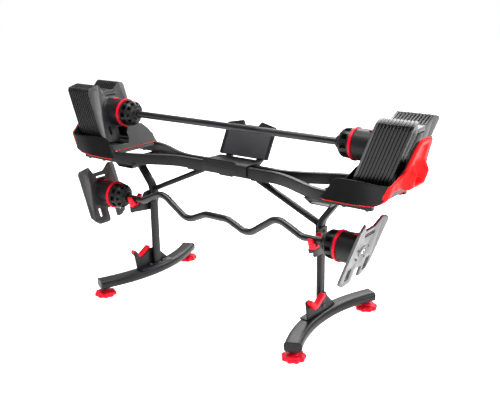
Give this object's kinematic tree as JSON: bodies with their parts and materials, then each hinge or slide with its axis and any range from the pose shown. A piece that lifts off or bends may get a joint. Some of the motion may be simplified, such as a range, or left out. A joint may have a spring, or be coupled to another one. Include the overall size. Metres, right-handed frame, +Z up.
{
  "type": "adjustable barbell and curl bar with stand",
  "caption": "Adjustable barbell and curl bar with turn-dial ends and leaning plate stacks, held on a two-legged rack with a media rest and levelling feet.",
  "frame": {"origin": "centre of the footprint on the floor, between the four levelling feet", "axes": "+X along both bars to the right as seen from the front, -Y is the front where the curl bar hangs, +Z up"},
  "size_m": [1.5128, 0.561, 0.775],
  "materials": {
    "frame_steel": "satin powder coat",
    "black_plastic": "fine moulded grain",
    "red_plastic": "moulded, semi gloss",
    "shell_red": "moulded, semi gloss",
    "plate_grey": "hammered grey coat",
    "bar_black": "black oxide, satin",
    "dark_steel": "black zinc",
    "hub_white": "smooth",
    "selector_steel": "machined",
    "panel_grey": "fine grain"
  },
  "bodies": {
    "stand": {"base_tubes": "frame_steel", "tube_caps": "black_plastic", "foot_bushes": "dark_steel", "left_upright": "frame_steel", "right_upright": "frame_steel", "braces": "frame_steel", "cross_plates": "frame_steel", "base_brackets": "frame_steel", "lower_hooks": "red_plastic", "cradle_brackets": "frame_steel", "cradle_hooks": "red_plastic", "front_beam": "frame_steel", "rear_beam": "frame_steel", "saddles": "frame_steel", "centre_cover": "black_plastic", "media_panel": "panel_grey", "media_frame": "black_plastic", "frame_bolts": "dark_steel", "left_tray": "black_plastic", "right_tray": "black_plastic", "left_tray_base": "shell_red", "right_tray_base": "shell_red"},
    "foot_lf_screw": {"foot_stud_lf": "dark_steel"},
    "foot_lf_wheel": {"foot_wheel_lf": "red_plastic"},
    "foot_lb_screw": {"foot_stud_lb": "dark_steel"},
    "foot_lb_wheel": {"foot_wheel_lb": "red_plastic"},
    "foot_rf_screw": {"foot_stud_rf": "dark_steel"},
    "foot_rf_wheel": {"foot_wheel_rf": "red_plastic"},
    "foot_rb_screw": {"foot_stud_rb": "dark_steel"},
    "foot_rb_wheel": {"foot_wheel_rb": "red_plastic"},
    "left_set_a": {"left_plates_a": "plate_grey"},
    "left_set_b": {"left_plates_b": "plate_grey"},
    "left_set_c": {"left_plates_c": "plate_grey"},
    "right_set_a": {"right_plates_a": "plate_grey"},
    "right_set_b": {"right_plates_b": "plate_grey"},
    "right_set_c": {"right_plates_c": "plate_grey"},
    "barbell": {"barbell_shaft": "bar_black", "barbell_housings": "black_plastic", "barbell_rings": "red_plastic", "barbell_hub_bolts": "hub_white", "barbell_end_plates": "plate_grey"},
    "barbell_left_dial": {"barbell_dial_l": "black_plastic", "barbell_selector_l": "selector_steel"},
    "barbell_left_button": {"barbell_button_l": "red_plastic"},
    "barbell_right_dial": {"barbell_dial_r": "black_plastic", "barbell_selector_r": "selector_steel"},
    "barbell_right_button": {"barbell_button_r": "red_plastic"},
    "curl_bar": {"curl_shaft": "bar_black", "curl_housings": "black_plastic", "curl_rings": "red_plastic", "curl_hub_bolts": "hub_white", "curl_end_plates": "plate_grey"},
    "curl_left_dial": {"curl_dial_l": "black_plastic", "curl_selector_l": "selector_steel"},
    "curl_left_button": {"curl_button_l": "red_plastic"},
    "curl_right_dial": {"curl_dial_r": "black_plastic", "curl_selector_r": "selector_steel"},
    "curl_right_button": {"curl_button_r": "red_plastic"}
  },
  "joints": [
    {"name": "barbell_lift", "type": "slide", "parent": "stand", "child": "barbell", "axis": [0, 0, 1], "range_m": [0, 0.3]},
    {"name": "curl_bar_lift", "type": "slide", "parent": "stand", "child": "curl_bar", "axis": [0, -0.5592, 0.829], "range_m": [0, 0.036]},
    {"name": "barbell_left_dial_turn", "type": "hinge", "parent": "barbell", "child": "barbell_left_dial", "pos_m": [-0.485, 0, 0.672], "axis": [1, 0, 0], "range_deg": [0, 320]},
    {"name": "barbell_left_button_press", "type": "slide", "parent": "barbell", "child": "barbell_left_button", "axis": [0, 0, -1], "range_m": [0, 0.004], "stiffness_N_per_m": 400, "springref_m": -0.002},
    {"name": "barbell_right_dial_turn", "type": "hinge", "parent": "barbell", "child": "barbell_right_dial", "pos_m": [0.485, 0, 0.672], "axis": [1, 0, 0], "range_deg": [0, 320]},
    {"name": "barbell_right_button_press", "type": "slide", "parent": "barbell", "child": "barbell_right_button", "axis": [0, 0, -1], "range_m": [0, 0.004], "stiffness_N_per_m": 400, "springref_m": -0.002},
    {"name": "curl_left_dial_turn", "type": "hinge", "parent": "curl_bar", "child": "curl_left_dial", "pos_m": [-0.485, -0.08, 0.355], "axis": [1, 0, 0], "range_deg": [0, 320]},
    {"name": "curl_left_button_press", "type": "slide", "parent": "curl_bar", "child": "curl_left_button", "axis": [0, 0, -1], "range_m": [0, 0.004], "stiffness_N_per_m": 400, "springref_m": -0.002},
    {"name": "curl_right_dial_turn", "type": "hinge", "parent": "curl_bar", "child": "curl_right_dial", "pos_m": [0.485, -0.08, 0.355], "axis": [1, 0, 0], "range_deg": [0, 320]},
    {"name": "curl_right_button_press", "type": "slide", "parent": "curl_bar", "child": "curl_right_button", "axis": [0, 0, -1], "range_m": [0, 0.004], "stiffness_N_per_m": 400, "springref_m": -0.002},
    {"name": "left_set_a_lift", "type": "slide", "parent": "stand", "child": "left_set_a", "axis": [-0.3453, 0, 0.9385], "range_m": [0, 0.09]},
    {"name": "left_set_b_lift", "type": "slide", "parent": "stand", "child": "left_set_b", "axis": [-0.3453, 0, 0.9385], "range_m": [0, 0.09]},
    {"name": "left_set_c_lift", "type": "slide", "parent": "stand", "child": "left_set_c", "axis": [-0.3453, 0, 0.9385], "range_m": [0, 0.09]},
    {"name": "right_set_a_lift", "type": "slide", "parent": "stand", "child": "right_set_a", "axis": [0.3453, 0, 0.9385], "range_m": [0, 0.09]},
    {"name": "right_set_b_lift", "type": "slide", "parent": "stand", "child": "right_set_b", "axis": [0.3453, 0, 0.9385], "range_m": [0, 0.09]},
    {"name": "right_set_c_lift", "type": "slide", "parent": "stand", "child": "right_set_c", "axis": [0.3453, 0, 0.9385], "range_m": [0, 0.09]},
    {"name": "foot_lf_level", "type": "slide", "parent": "stand", "child": "foot_lf_screw", "axis": [0, 0, 1], "range_m": [0, 0.006]},
    {"name": "foot_lf_turn", "type": "hinge", "parent": "foot_lf_screw", "child": "foot_lf_wheel", "pos_m": [-0.44059, -0.238, 0.01], "axis": [0, 0, 1], "range_deg": [-1, 1441]},
    {"name": "foot_lb_level", "type": "slide", "parent": "stand", "child": "foot_lb_screw", "axis": [0, 0, 1], "range_m": [0, 0.006]},
    {"name": "foot_lb_turn", "type": "hinge", "parent": "foot_lb_screw", "child": "foot_lb_wheel", "pos_m": [-0.44059, 0.238, 0.01], "axis": [0, 0, 1], "range_deg": [-1, 1441]},
    {"name": "foot_rf_level", "type": "slide", "parent": "stand", "child": "foot_rf_screw", "axis": [0, 0, 1], "range_m": [0, 0.006]},
    {"name": "foot_rf_turn", "type": "hinge", "parent": "foot_rf_screw", "child": "foot_rf_wheel", "pos_m": [0.44059, -0.238, 0.01], "axis": [0, 0, 1], "range_deg": [-1, 1441]},
    {"name": "foot_rb_level", "type": "slide", "parent": "stand", "child": "foot_rb_screw", "axis": [0, 0, 1], "range_m": [0, 0.006]},
    {"name": "foot_rb_turn", "type": "hinge", "parent": "foot_rb_screw", "child": "foot_rb_wheel", "pos_m": [0.44059, 0.238, 0.01], "axis": [0, 0, 1], "range_deg": [-1, 1441]}
  ],
  "couplings": [
    {"joint": "foot_lf_turn", "follows": "foot_lf_level", "rad_per_m": 4188.8},
    {"joint": "foot_lb_turn", "follows": "foot_lb_level", "rad_per_m": 4188.8},
    {"joint": "foot_rf_turn", "follows": "foot_rf_level", "rad_per_m": 4188.8},
    {"joint": "foot_rb_turn", "follows": "foot_rb_level", "rad_per_m": 4188.8}
  ]
}
